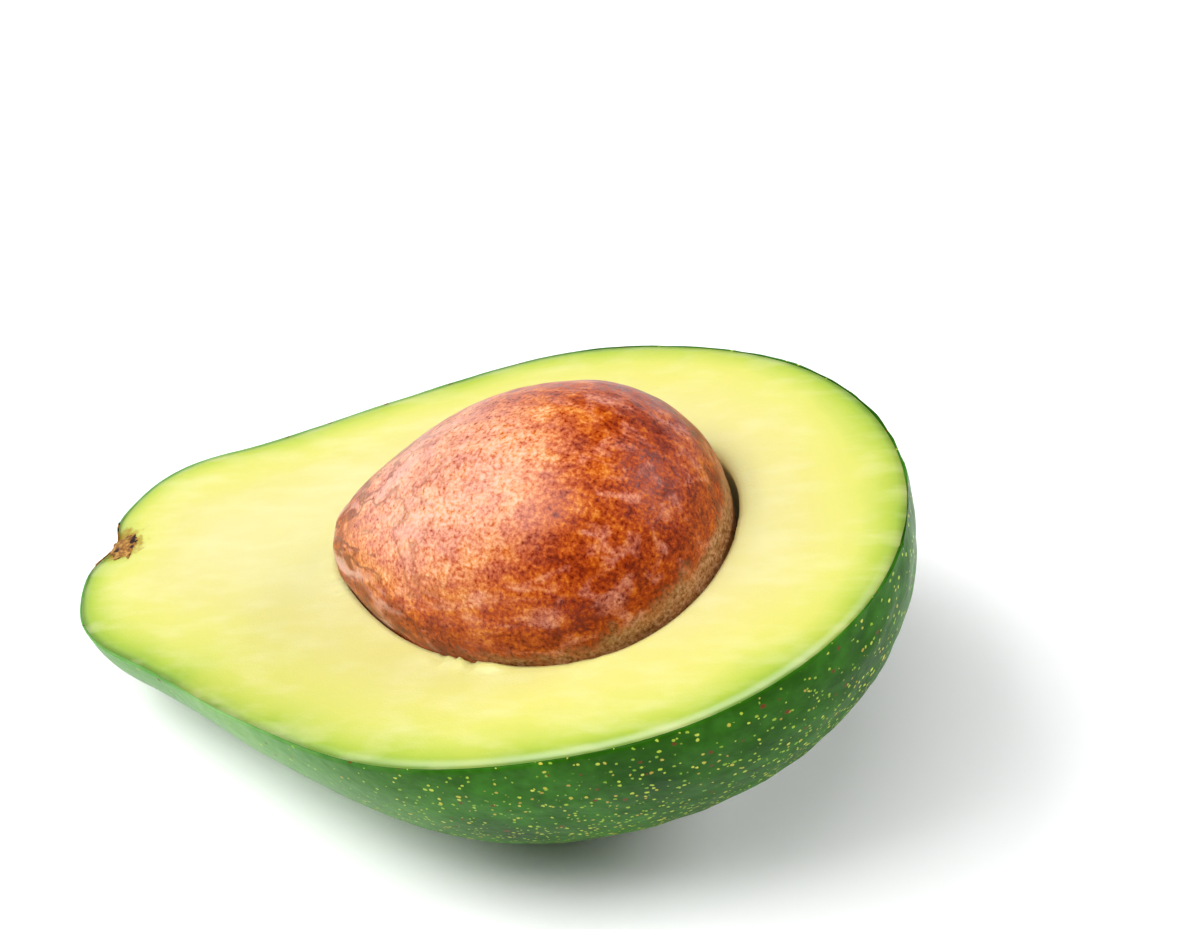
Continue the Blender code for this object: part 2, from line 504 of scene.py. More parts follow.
def skin_material(colours):
    """Smooth avocado skin: a waxy green rind that gives soft broad highlights, with pale lenticels."""
    made, tree, shader = new_material("avocado_skin")
    place = add(tree, COORDINATES)["Object"]
    below_cut = add(tree, ATTRIBUTE, {"attribute_name": "below_cut"})["Fac"]
    neck = add(tree, ATTRIBUTE, {"attribute_name": "neck"})["Fac"]

    # Broad patches of lighter and darker rind, 15 mm across, and finer mottling of 2 mm
    patches = add(tree, NOISE, inputs={"Vector": place, "Scale": 1 / 0.015, "Detail": 3.0})["Fac"]
    mottle = add(tree, NOISE, inputs={"Vector": place, "Scale": 1 / 0.002, "Detail": 4.0})["Fac"]
    both = add(tree, MATH, TIMES_PLUS, {0: mottle, 1: 0.45, 2: patches})[0]
    belly_rind = ((0.5, "#143F03"), (0.72, colours.rind), (0.95, "#37731A"))
    # Painted sheen: the neck's rind is paler and mintier than the belly's, standing in for light
    # reflected off the neck
    neck_sheen_rind = ((0.5, "#528E3C"), (0.72, colours.neck), (0.95, "#82AE68"))
    belly = add(tree, RAMP, inputs={"Fac": both}, stops=belly_rind)["Color"]
    pale = add(tree, RAMP, inputs={"Fac": both}, stops=neck_sheen_rind)["Color"]
    rind = add(tree, BLEND, COLOUR_BLEND, {FACTOR: neck, UNDER: belly, OVER: pale})[MIXED]

    # Painted shade: darker still on the deepest part of the belly, from 20 mm below the cut, where the
    # fruit shades its own underside
    deepest = {"Value": below_cut, "From Min": 0.020, "From Max": 0.036, "To Max": 0.6}
    deepest = add(tree, RANGE, SMOOTH, deepest)["Result"]
    dark = linear("#0C2A02")
    rind = add(tree, BLEND, COLOUR_BLEND, {FACTOR: deepest, UNDER: rind, OVER: dark})[MIXED]

    # Lenticels up to 0.6 mm across, with some of 0.7 mm, few near the cut and crowded on the belly
    crowd = add(tree, NOISE, inputs={"Vector": place, "Scale": 1 / 0.009, "Detail": 2.0})["Fac"]
    crowd = {"Value": crowd, "From Min": 0.25, "From Max": 0.5, "To Min": 0.5}
    crowd = add(tree, RANGE, inputs=crowd)["Result"]
    deep = {"Value": below_cut, "From Max": 0.012, "To Min": 0.4, "To Max": 1.0}
    deep = add(tree, RANGE, inputs=deep)["Result"]
    few = add(tree, RANGE, inputs={"Value": neck, "To Min": 1.0, "To Max": 0.1})["Result"]
    spread = add(tree, MATH, TIMES, {0: crowd, 1: deep})[0]
    spread = add(tree, MATH, TIMES, {0: spread, 1: few})[0]
    small, own = dots(tree, place, 0.0008, 0.38, spread)
    pale_stops = ((0.0, "#78A62E"), (0.5, "#A9C23C"), (0.85, "#C8D052"), (1.0, "#B08A3A"))
    pale = add(tree, RAMP, inputs={"Fac": own["Green"]}, stops=pale_stops)["Color"]
    rind = add(tree, BLEND, COLOUR_BLEND, {FACTOR: small, UNDER: rind, OVER: pale})[MIXED]
    large, _ = dots(tree, place, 0.0021, 0.17, spread)
    rind = add(tree, BLEND, COLOUR_BLEND, {FACTOR: large, UNDER: rind, OVER: colours.dots})[MIXED]

    # Corky specks: red-brown, up to 0.9 mm across, most of them close under the cut
    shallow = {"Value": below_cut, "From Max": 0.014, "To Min": 0.9, "To Max": 0.35}
    shallow = add(tree, RANGE, inputs=shallow)["Result"]
    cork, _ = dots(tree, place, 0.0024, 0.19, shallow)
    rind = add(tree, BLEND, COLOUR_BLEND, {FACTOR: cork, UNDER: rind, OVER: colours.cork})[MIXED]
    tree.links.new(rind, shader.inputs["Base Color"])

    # A waxy bloom that is duller in patches and underneath, over grain of 1.4 mm
    rough = add(tree, RANGE, inputs={"Value": patches, "To Min": 0.2, "To Max": 0.42})["Result"]
    dull = {"Value": below_cut, "From Min": 0.006, "From Max": 0.03, "To Max": 0.35}
    dull = add(tree, RANGE, inputs=dull)["Result"]
    rough = add(tree, MATH, inputs={0: rough, 1: dull})[0]
    tree.links.new(rough, shader.inputs["Roughness"])
    pebble = add(tree, NOISE, inputs={"Vector": place, "Scale": 1 / 0.0014, "Detail": 3.0})["Fac"]
    raised = add(tree, MATH, TIMES_PLUS, {0: small, 1: 0.25, 2: pebble})[0]
    bump = {"Strength": 0.35, "Distance": 0.0003, "Height": raised}
    tree.links.new(add(tree, BUMP, inputs=bump)["Normal"], shader.inputs["Normal"])
    shader.inputs["IOR"].default_value = 1.4
    shader.inputs["Specular IOR Level"].default_value = 0.07
    return made


def flesh_material(colours):
    """Ripe avocado flesh, cut with a knife: moist and buttery, cream inside and green under the skin."""
    made, tree, shader = new_material("avocado_flesh")
    place = add(tree, COORDINATES)["Object"]
    under_skin = add(tree, ATTRIBUTE, {"attribute_name": "under_skin"})["Fac"]
    from_stalk = add(tree, ATTRIBUTE, {"attribute_name": "from_stalk"})["Fac"]
    green_reach = add(tree, ATTRIBUTE, {"attribute_name": "green_reach"})["Fac"]
    edge_highlight = add(tree, ATTRIBUTE, {"attribute_name": "edge_highlight"})["Fac"]

    # The green layer's edge wanders by about a millimetre over 8 mm
    wander = add(tree, NOISE, inputs={"Vector": place, "Scale": 1 / 0.008, "Detail": 3.0})["Fac"]
    wander = add(tree, RANGE, inputs={"Value": wander, "To Min": -0.0022, "To Max": 0.0022})["Result"]
    inner = add(tree, RANGE, inputs={"Value": under_skin, "From Max": 0.006})["Result"]
    depth = add(tree, MATH, TIMES_PLUS, {0: wander, 1: inner, 2: under_skin})[0]
    depth = add(tree, MATH, {"operation": "DIVIDE"}, {0: depth, 1: green_reach})[0]
    # The ramp runs over 22 mm, where the flesh has its innermost colour
    share = add(tree, RANGE, inputs={"Value": depth, "From Max": 0.022})["Result"]
    greens_to_cream = (
        (0.000, colours.edge),
        (0.025, "#6F8E30"),
        (0.050, "#8FAB3E"),
        (0.095, "#A6B945"),
        (0.155, "#B7C256"),
        (0.240, "#C7C965"),
        (0.380, "#CECB70"),
        (0.640, "#D0C97D"),
        (1.000, colours.flesh),
    )
    flesh = add(tree, RAMP, inputs={"Fac": share}, stops=greens_to_cream)["Color"]

    # Painted highlight: a pale line just inside the skin on the near and wide sides, where the rounded
    # edge of the cut catches the light
    outer = {"Value": under_skin, "From Min": 0.0004, "From Max": 0.0008}
    outer = add(tree, RANGE, SMOOTH, outer)["Result"]
    inner = {"Value": under_skin, "From Min": 0.0017, "From Max": 0.0009, "To Max": 0.5}
    inner = add(tree, RANGE, SMOOTH, inner)["Result"]
    band = add(tree, MATH, TIMES, {0: outer, 1: inner})[0]
    band = add(tree, MATH, TIMES, {0: band, 1: edge_highlight})[0]
    highlight_mint = linear("#B9CB94")
    flesh = add(tree, BLEND, COLOUR_BLEND, {FACTOR: band, UNDER: flesh, OVER: highlight_mint})[MIXED]

    # Faint fibres along the fruit, 17 mm by 2.4 mm, and cloudy buttery patches of 14 mm
    stretched = add(tree, "ShaderNodeMapping", inputs={"Vector": place, "Scale": (60, 420, 420)})
    fibres = {"Vector": stretched["Vector"], "Scale": 1.0, "Detail": 3.0}
    fibres = add(tree, NOISE, inputs=fibres)["Fac"]
    streak = {"Value": fibres, "From Min": 0.45, "From Max": 0.8, "To Max": 0.35}
    streak = add(tree, RANGE, inputs=streak)["Result"]
    cream = linear("#DEDAAE")
    flesh = add(tree, BLEND, COLOUR_BLEND, {FACTOR: streak, UNDER: flesh, OVER: cream})[MIXED]
    clouds = add(tree, NOISE, inputs={"Vector": place, "Scale": 1 / 0.014, "Detail": 4.0})["Fac"]
    cloudy = {"Value": clouds, "From Min": 0.5, "From Max": 0.8, "To Max": 0.3}
    cloudy = add(tree, RANGE, inputs=cloudy)["Result"]
    butter = linear("#D0C860")
    flesh = add(tree, BLEND, COLOUR_BLEND, {FACTOR: cloudy, UNDER: flesh, OVER: butter})[MIXED]

    # Flesh stained ochre round the stalk's seat, with an edge uneven over 1.2 mm
    ragged = add(tree, NOISE, inputs={"Vector": place, "Scale": 1 / 0.0012, "Detail": 3.0})["Fac"]
    stained = add(tree, MATH, TIMES_PLUS, {0: ragged, 1: -0.006, 2: from_stalk})[0]
    stain = {"Value": stained, "From Min": 0.0008, "From Max": -0.0012, "To Max": 0.85}
    stain = add(tree, RANGE, SMOOTH, stain)["Result"]
    ochre = linear("#9A741C")
    flesh = add(tree, BLEND, COLOUR_BLEND, {FACTOR: stain, UNDER: flesh, OVER: ochre})[MIXED]
    tree.links.new(flesh, shader.inputs["Base Color"])

    # Moist cut surface, with a fine grain of 0.3 mm
    grain = add(tree, NOISE, inputs={"Vector": place, "Scale": 1 / 0.0003, "Detail": 2.0})["Fac"]
    rough = add(tree, RANGE, inputs={"Value": grain, "To Min": 0.3, "To Max": 0.55})["Result"]
    tree.links.new(rough, shader.inputs["Roughness"])
    relief = add(tree, MATH, TIMES_PLUS, {0: fibres, 1: 0.6, 2: grain})[0]
    bump = {"Strength": 0.25, "Distance": 0.00012, "Height": relief}
    tree.links.new(add(tree, BUMP, inputs=bump)["Normal"], shader.inputs["Normal"])
    shader.inputs["IOR"].default_value = 1.4
    shader.inputs["Subsurface Weight"].default_value = 0.25
    shader.inputs["Subsurface Radius"].default_value = (1.0, 0.8, 0.3)
    shader.inputs["Subsurface Scale"].default_value = 0.003
    return made


def stone_material(colours):
    """Avocado stone in its thin seed coat: satin, speckled from dark red-brown to peach."""
    made, tree, shader = new_material("avocado_stone")
    place = add(tree, COORDINATES)["Object"]
    own = add(tree, ATTRIBUTE, {"attribute_name": "stone_place"})["Vector"]
    axes = add(tree, "ShaderNodeSeparateXYZ", inputs={"Vector": own})
    along, upwards = axes["X"], axes["Z"]

    # Speckle of 0.5 mm, blotches of 2.2 mm, streaks of 10 mm by 2.3 mm along the stone, and broad
    # zones of 10 mm; `own` is 1 at the surface, which is 25 mm from the centre along the stone
    grit = {"Vector": place, "Scale": 1 / 0.0005, "Detail": 3.0, "Roughness": 0.65}
    grit = add(tree, NOISE, inputs=grit)["Fac"]
    blotch = add(tree, NOISE, inputs={"Vector": place, "Scale": 1 / 0.0022, "Detail": 3.0})["Fac"]
    lengthwise = add(tree, "ShaderNodeMapping", inputs={"Vector": own, "Scale": (2.4, 8.0, 8.0)})
    streaks = {"Vector": lengthwise["Vector"], "Scale": 1.0, "Detail": 4.0, "Distortion": 0.8}
    streaks = add(tree, NOISE, inputs=streaks)["Fac"]
    zones = add(tree, NOISE, inputs={"Vector": own, "Scale": 2.4, "Detail": 3.0})["Fac"]
    tone = add(tree, MATH, TIMES_PLUS, {0: grit, 1: 1.9, 2: -1.05})[0]
    for pattern, weight in ((blotch, 1.2), (streaks, 0.9), (zones, 0.7)):
        tone = add(tree, MATH, TIMES_PLUS, {0: pattern, 1: weight, 2: tone})[0]
    # Painted light and shade: paler where the light falls on the upper shoulder, darker in shade towards
    # the flesh and the round end
    shoulder = (-0.2, -0.3, 0.93)
    apart = add(tree, VECTOR_MATH, {"operation": "DISTANCE"}, {0: own, 1: shoulder})
    apart = apart["Value"]
    shade = {"Value": apart, "From Min": 0.3, "From Max": 1.2, "To Min": 0.2, "To Max": -0.36}
    shade = add(tree, RANGE, SMOOTH, shade)["Result"]
    tone = add(tree, MATH, inputs={0: tone, 1: shade})[0]
    tone = add(tree, RANGE, inputs={"Value": tone, "From Min": 0.62, "From Max": 1.95})["Result"]
    browns = (
        (0.00, "#6A1C02"),
        (0.20, "#8E2E02"),
        (0.40, colours.stone),
        (0.60, "#C66A14"),
        (0.80, "#D8924A"),
        (1.00, "#E4B68C"),
    )
    coat = add(tree, RAMP, inputs={"Fac": tone}, stops=browns)["Color"]

    # A pinkish papery film in worn patches that lie along the stone, and on the upper shoulder, where it
    # is partly real film and partly a painted highlight
    film = {"Value": apart, "From Min": 0.9, "From Max": 0.3, "To Max": 0.65}
    film = add(tree, RANGE, SMOOTH, film)["Result"]
    worn = {"Value": streaks, "From Min": 0.5, "From Max": 0.74, "To Max": 0.4}
    worn = add(tree, RANGE, SMOOTH, worn)["Result"]
    film = add(tree, MATH, {"operation": "MAXIMUM"}, {0: film, 1: worn})[0]
    torn = {"Value": grit, "From Min": 0.3, "From Max": 0.6}
    torn = add(tree, RANGE, inputs=torn)["Result"]
    film = add(tree, MATH, TIMES, {0: film, 1: torn})[0]
    coat = add(tree, BLEND, COLOUR_BLEND, {FACTOR: film, UNDER: coat, OVER: colours.film})[MIXED]

    # Dark veins in the seed coat with paler film between them, which run lengthwise into the point
    around = add(tree, VECTOR_MATH, TIMES, {0: own, 1: (0, 1, 1)})["Vector"]
    around = add(tree, VECTOR_MATH, {"operation": "NORMALIZE"}, {0: around})["Vector"]
    around = add(tree, VECTOR_MATH, TIMES_PLUS, {0: own, 1: (1.3, 0, 0), 2: around})["Vector"]
    veins = {"Vector": around, "Scale": 3.2, "Detail": 3.0, "Distortion": 0.5}
    veins = add(tree, NOISE, inputs=veins)["Fac"]
    strength = {"Value": along, "From Min": 0.1, "From Max": -0.75, "To Min": 0.0, "To Max": 0.8}
    strength = add(tree, RANGE, inputs=strength)["Result"]
    vein = add(tree, MATH, {"operation": "SUBTRACT"}, {0: veins, 1: 0.5})[0]
    vein = add(tree, MATH, {"operation": "ABSOLUTE"}, {0: vein})[0]
    vein = add(tree, RANGE, SMOOTH, {"Value": vein, "From Min": 0.05, "From Max": 0.0})["Result"]
    between = add(tree, RANGE, SMOOTH, {"Value": veins, "From Min": 0.52, "From Max": 0.66})["Result"]
    for mark, colour in ((between, "#D2A597"), (vein, "#74301A")):
        share = add(tree, MATH, TIMES, {0: mark, 1: strength})[0]
        over = linear(colour)
        coat = add(tree, BLEND, COLOUR_BLEND, {FACTOR: share, UNDER: coat, OVER: over})[MIXED]

    # A bare tan margin just above the flesh, with a frayed edge, deepest at the round end
    depth = {"Value": along, "From Min": 0.1, "From Max": 0.9, "To Min": 0.0, "To Max": 0.06}
    depth = add(tree, RANGE, inputs=depth)["Result"]
    above = add(tree, MATH, {"operation": "SUBTRACT"}, {0: upwards, 1: depth})[0]
    for pattern, weight in ((blotch, 0.22), (zones, 0.5), (grit, 0.15)):
        above = add(tree, MATH, TIMES_PLUS, {0: pattern, 1: weight, 2: above})[0]
    height = {"Value": above, "From Min": 0.52, "From Max": 0.38, "To Max": 0.7}
    height = add(tree, RANGE, SMOOTH, height)["Result"]
    end = add(tree, RANGE, SMOOTH, {"Value": along, "From Min": -0.25, "From Max": 0.2})["Result"]
    margin = add(tree, MATH, TIMES, {0: height, 1: end})[0]
    tans = ((0.35, "#7E5228"), (0.5, "#A87C4A"), (0.65, "#C6A47C"))
    tan = add(tree, RAMP, inputs={"Fac": grit}, stops=tans)["Color"]
    coat = add(tree, BLEND, COLOUR_BLEND, {FACTOR: margin, UNDER: coat, OVER: tan})[MIXED]

    # Pale dry skin at the point
    point = {"Value": along, "From Min": -0.93, "From Max": -0.995, "To Max": 0.6}
    point = add(tree, RANGE, SMOOTH, point)["Result"]
    dry = linear("#C9B09A")
    coat = add(tree, BLEND, COLOUR_BLEND, {FACTOR: point, UNDER: coat, OVER: dry})[MIXED]
    tree.links.new(coat, shader.inputs["Base Color"])

    # Satin, broken up by the grit
    rough = {"Value": grit, "From Min": 0.35, "From Max": 0.65, "To Min": 0.26, "To Max": 0.5}
    rough = add(tree, RANGE, inputs=rough)["Result"]
    tree.links.new(rough, shader.inputs["Roughness"])
    relief = add(tree, MATH, TIMES_PLUS, {0: veins, 1: 1.2, 2: blotch})[0]
    relief = add(tree, MATH, TIMES_PLUS, {0: grit, 1: 0.5, 2: relief})[0]
    bump = {"Strength": 0.35, "Distance": 0.0004, "Height": relief}
    tree.links.new(add(tree, BUMP, inputs=bump)["Normal"], shader.inputs["Normal"])
    shader.inputs["IOR"].default_value = 1.48
    shader.inputs["Specular IOR Level"].default_value = 0.22
    return made


def stalk_material(colours):
    """Dry stalk wood, cut lengthwise: brown fibre bundles in ochre pith."""
    made, tree, shader = new_material("stalk_wood")
    place = add(tree, COORDINATES)["Object"]
    # Pith mottled over 0.5 mm, with dark ends of fibre bundles about 1.1 mm apart
    fibre = add(tree, NOISE, inputs={"Vector": place, "Scale": 1 / 0.0005, "Detail": 4.0})["Fac"]
    pith = ((0.3, "#5E3008"), (0.5, colours.stalk), (0.7, "#C79A48"))
    wood = add(tree, RAMP, inputs={"Fac": fibre}, stops=pith)["Color"]
    bundles, _ = dots(tree, place, 0.0011, 0.5)
    dark = linear("#260C02")
    wood = add(tree, BLEND, COLOUR_BLEND, {FACTOR: bundles, UNDER: wood, OVER: dark})[MIXED]
    tree.links.new(wood, shader.inputs["Base Color"])
    shader.inputs["Roughness"].default_value = 0.75
    raised = add(tree, MATH, {"operation": "SUBTRACT"}, {0: fibre, 1: bundles})[0]
    bump = {"Strength": 0.6, "Distance": 0.0003, "Height": raised}
    tree.links.new(add(tree, BUMP, inputs=bump)["Normal"], shader.inputs["Normal"])
    return made


def floor_material():
    """Matt white studio paper, with a faint grain of 4 mm."""
    made, tree, shader = new_material("studio_paper")
    place = add(tree, COORDINATES)["Object"]
    grain = add(tree, NOISE, inputs={"Vector": place, "Scale": 1 / 0.004})["Fac"]
    whites = ((0.0, "#FBFBFC"), (1.0, "#FDFDFE"))
    paper = add(tree, RAMP, inputs={"Fac": grain}, stops=whites)["Color"]
    tree.links.new(paper, shader.inputs["Base Color"])
    shader.inputs["Roughness"].default_value = 0.9
    return made


# ---------------------------------------------------------------- pieces


def finish_piece(name, bm, surface, place, replaced=()):
    """Puts a shaped mesh in its place in the world as a finished piece on the fruit's body."""
    bmesh.ops.transform(bm, verts=bm.verts, matrix=place)
    mesh = new_mesh(name, bm)
    mesh.shade_smooth()
    mesh.materials.append(surface)
    piece = new_object(name, mesh)
    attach(piece, BODY)
    for node in replaced:
        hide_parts(node)
    return piece


def make_peel(fruit, colours):
    """The peel: a thin shell, open along the cut, with the skin's relief on its outside."""
    bm = whole_fruit(fruit, 0, relief=True)
    cut_lengthwise(bm)
    inner = whole_fruit(fruit, fruit.peel)
    cut_lengthwise(inner)
    bmesh.ops.reverse_faces(inner, faces=inner.faces)
    add_to(bm, inner)
    rims = [edge for edge in bm.edges if edge.is_boundary]
    bmesh.ops.bridge_loops(bm, edges=rims)
    bmesh.ops.recalc_face_normals(bm, faces=bm.faces)
    below = bm.verts.layers.float.new("below_cut")
    neck = bm.verts.layers.float.new("neck")
    for vert in bm.verts:
        # Depth below the cut, which sets the painted shade under the belly, the dots, the specks and the
        # duller bloom
        vert[below] = -vert.co.z
        # The neck, where the rind is painted paler as a sheen and where the lenticels are few
        vert[neck] = ease_between(0.62, 0.28, vert.co.x / fruit.length)
        if vert.co.z > -0.01 * MM:
            vert.co.z = -fruit.edge_drop
    skin = skin_material(colours)
    return finish_piece("avocado_peel", bm, skin, fruit_to_world(fruit), ["peel"])


def ring_step(bm, rim, move):
    """Extrudes an open rim by one ring, moves the new points and returns the new rim."""
    new = bmesh.ops.extrude_edge_only(bm, edges=rim)["geom"]
    for vert in [item for item in new if isinstance(item, bmesh.types.BMVert)]:
        move(vert)
    return [item for item in new if isinstance(item, bmesh.types.BMEdge)]


def mark_flesh(bm, fruit):
    """Gives each point of the flesh what its colours need, and returns its depth under the skin."""
    skin = whole_fruit(fruit, 0)
    skin_tree = BVHTree.FromBMesh(skin)
    skin.free()
    under = bm.verts.layers.float.new("under_skin")
    stalk = bm.verts.layers.float.new("from_stalk")
    reach = bm.verts.layers.float.new("green_reach")
    edge_highlight_layer = bm.verts.layers.float.new("edge_highlight")
    seat = Vector((STAIN_ALONG, fruit.core_bend, 0))
    for vert in bm.verts:
        place = vert.co
        share = place.x / fruit.length
        vert[under] = skin_tree.find_nearest(place)[3]
        vert[stalk] = (place - seat).length
        # The green layer is thicker on the near side and at the wide end
        near_side = ease_between(7 * MM, -21 * MM, place.y)
        wide_end = ease_between(0.75, 1.0, share)
        vert[reach] = 0.68 + 0.42 * max(near_side, wide_end)
        # Where the painted highlight lies on the cut's edge: the near side, from the middle of the fruit
        # to the wide end
        vert[edge_highlight_layer] = ease_between(0, -20 * MM, place.y) * ease_between(0.4, 0.65, share)
    return under


def make_flesh(fruit, stone, colours):
    """The flesh: its cut face round the hollow, the hollow's wall, and its side under the peel."""
    inset = fruit.peel + PEEL_TO_FLESH
    bm = whole_fruit(fruit, inset)
    rim = cut_lengthwise(bm)

    wall = hollow_wall(stone)
    middle = Vector((stone.centre[0], stone.centre[1], 0))

    def hollow_point(direction):
        hit = wall.ray_cast(middle, direction)[0]
        if hit is None:
            raise RuntimeError("the hollow is open in one direction")
        return hit

    # The cut face: rings from the peel to the hollow
    shares = [(k / FACE_STEPS) ** FACE_CROWDING for k in range(FACE_STEPS + 1)]
    for before, after in zip(shares, shares[1:]):
        left = (after - before) / (1 - before)

        def inward(vert, left=left):
            flat = Vector((vert.co.x, vert.co.y, 0))
            edge = hollow_point((flat - middle).normalized())
            vert.co = flat.lerp(Vector((edge.x, edge.y, 0)), left)

        rim = ring_step(bm, rim, inward)

    # The hollow: rings down its wall, and a cap over the small hole left at the bottom
    for k in range(1, HOLLOW_STEPS):
        fall = pi / 2 * k / HOLLOW_STEPS

        def down(vert, fall=fall):
            flat = Vector((vert.co.x - middle.x, vert.co.y - middle.y, 0)).normalized()
            vert.co = hollow_point(flat * cos(fall) + Vector((0, 0, -sin(fall))))

        rim = ring_step(bm, rim, down)
    cap = bmesh.ops.edgeloop_fill(bm, edges=rim)["faces"]
    bmesh.ops.poke(bm, faces=cap)
    bmesh.ops.recalc_face_normals(bm, faces=bm.faces)

    # The knife's slight waves, the soft outer edge, and the torn lip round the stone
    under = mark_flesh(bm, fruit)
    for vert in bm.verts:
        if abs(vert.co.z) > ON_THE_CUT:
            continue
        flat = Vector((vert.co.x, vert.co.y, 0))
        from_rim = vert[under] - inset
        edge = hollow_point((flat - middle).normalized())
        waves = LONG_WAVE_HEIGHT * noise.noise(flat / LONG_WAVES)
        waves += SHORT_WAVE_HEIGHT * noise.noise(flat / SHORT_WAVES)
        waves *= ease_between(0, WAVES_FROM, from_rim)
        soft_edge = fruit.edge_drop * (ease_between(0, ROUNDED_FOR, from_rim) - 1)
        vert.co.z = waves + soft_edge + torn_lip(flat, middle, (flat - edge).length)
    bm.normal_update()
    flesh = flesh_material(colours)
    return finish_piece("avocado_flesh", bm, flesh, fruit_to_world(fruit), ["flesh"])


def torn_lip(place, middle, from_hollow):
    """Height of the flesh at the hollow's edge: rounded, with torn crumbs in a few spots."""
    around = Vector((place.x - middle.x, place.y - middle.y, 0)).normalized()
    rounding = LIP_DROP + LIP_END_DROP * ease_between(0, 0.8, around.x)
    rounding *= ease_between(0, LIP_WIDTH, from_hollow) - 1
    near_side = ease_between(0.94, 0.99, around.dot(TORN_SIDE))
    point_side = 0.8 * ease_between(0.9, 0.99, -around.x)
    elsewhere = 0.4 * ease_between(0.05, 0.35, noise.noise(around * 2.1))
    torn = max(near_side, point_side, elsewhere)
    torn *= 1 - ease_between(TORN_FULLY, TORN_WIDTH, from_hollow)
    crumbs = noise.noise(place / CRUMBS) + 0.5 * noise.noise(place / SMALL_CRUMBS)
    return rounding + CRUMB_HEIGHT * torn * max(crumbs + 0.3, -0.1)


def stone_relief(direction):
    """Height of the stone's relief: broad bumps, fine grain, and ripples and ridges along it."""
    bumps = STONE_BUMPS * noise.noise(direction * 2.2)
    lengthwise = Vector((direction.x * 2, direction.y * 7, direction.z * 7))
    ripples = STONE_RIPPLES * noise.noise(lengthwise)
    grain = STONE_GRAIN * noise.noise(direction * 14)
    # The ridges fade towards the round end, and again at the point, where they meet
    fade = ease_between(0.2, -0.9, direction.x) * ease_between(-1, -0.9, direction.x)
    turn = atan2(direction.z, direction.y)
    ridges = STONE_RIDGES * fade * sin(RIDGE_COUNT * turn + 3 * bumps / MM)
    return bumps + ripples + grain + ridges


def make_stone(fruit, stone, colours):
    """The stone, whole, in its hollow."""
    bm, own = egg(stone)
    for vert in bm.verts:
        vert.co += vert.normal * stone_relief(vert[own])
    bm.normal_update()
    place = fruit_to_world(fruit) @ stone_to_fruit(stone)
    return finish_piece("avocado_stone", bm, stone_material(colours), place, ["stone"])


def make_stem_scar(fruit, colours):
    """The stalk's seat: a ragged plug in the dimple with its upper side cut flat."""
    bm = ball(SCAR_RINGS, SCAR_SIDES)
    centre = Vector((SCAR_ALONG, fruit.core_bend - SCAR_ASIDE, 0))
    for vert in bm.verts:
        ragged = 1 + 0.5 * noise.noise(vert.co * 1.7) + 0.35 * noise.noise(vert.co * 4.5)
        vert.co = vert.co * (SCAR_RADIUS * ragged) + centre
    bmesh.ops.edgeloop_fill(bm, edges=cut_lengthwise(bm))
    lid = [face for face in bm.faces if len(face.verts) > 4]
    bmesh.ops.triangulate(bm, faces=lid)
    bmesh.ops.recalc_face_normals(bm, faces=bm.faces)
    bmesh.ops.translate(bm, verts=bm.verts, vec=(0, 0, SCAR_PROUD))
    wood = stalk_material(colours)
    place = fruit_to_world(fruit)
    return finish_piece("avocado_stem_scar", bm, wood, place, ["stem_scar"])


def make_stem_collar(fruit, colours):
    """The papery brown flake that lines the dimple where the stalk came away."""
    bm = whole_fruit(fruit, -FLAKE_LIFT)
    cut_lengthwise(bm)
    seat = Vector((FLAKE_ALONG, fruit.core_bend, 0))

    def keep_within(reach):
        """Deletes the faces further from the seat than `reach` says for their place."""
        places = {face: face.calc_center_median() for face in bm.faces}
        far = [face for face, place in places.items() if (place - seat).length > reach(place)]
        bmesh.ops.delete(bm, geom=far, context="FACES")

    keep_within(lambda place: FLAKE_BLANK)
    bmesh.ops.subdivide_edges(bm, edges=bm.edges, cuts=1)
    keep_within(lambda place: FLAKE_REACH * (1 + 0.6 * noise.noise(place / FLAKE_TEARS)))
    bmesh.ops.solidify(bm, geom=bm.faces, thickness=FLAKE_THICKNESS)
    bmesh.ops.recalc_face_normals(bm, faces=bm.faces)
    wood = stalk_material(colours)
    return finish_piece("avocado_stem_collar", bm, wood, fruit_to_world(fruit))


# ---------------------------------------------------------------- studio


def make_floor():
    """The paper that the fruit rests on."""
    bm = bmesh.new()
    bmesh.ops.create_grid(bm, x_segments=1, y_segments=1, size=FLOOR_HALF)
    mesh = new_mesh("studio_floor", bm)
    mesh.materials.append(floor_material())
    new_object("studio_floor", mesh)


def make_softbox(name, azimuth, elevation, width, height, share):
    """A soft light that adds `share` to the floor's brightness, where 1 makes white paper white."""
    azimuth, elevation = radians(azimuth), radians(elevation)
    flat = cos(elevation)
    way = Vector((flat * cos(azimuth), flat * sin(azimuth), sin(elevation)))
    lamp = bpy.data.lights.new(name, "AREA")
    lamp.shape = "RECTANGLE"
    lamp.size = width
    lamp.size_y = height
    lamp.energy = share * (pi * SOFTBOX_DISTANCE) ** 2 / way.z
    light = new_object(name, lamp)
    light.location = way * SOFTBOX_DISTANCE
    light.rotation_euler = way.to_track_quat("Z", "Y").to_euler()


def make_camera(studio):
    """The camera, aimed at its target."""
    azimuth, elevation = studio.azimuth, studio.elevation
    flat = cos(elevation)
    back = Vector((sin(azimuth) * flat, -cos(azimuth) * flat, sin(elevation)))
    place = Matrix.Translation(Vector(studio.target) + back * studio.distance)
    aim = (-back).to_track_quat("-Z", "Y").to_matrix().to_4x4()
    lens = bpy.data.cameras.new("studio_camera")
    lens.lens = studio.lens
    lens.sensor_width = SENSOR_WIDTH
    camera = new_object("studio_camera", lens)
    camera.matrix_world = place @ aim @ Matrix.Rotation(studio.roll, 4, "Z")
    bpy.context.scene.camera = camera


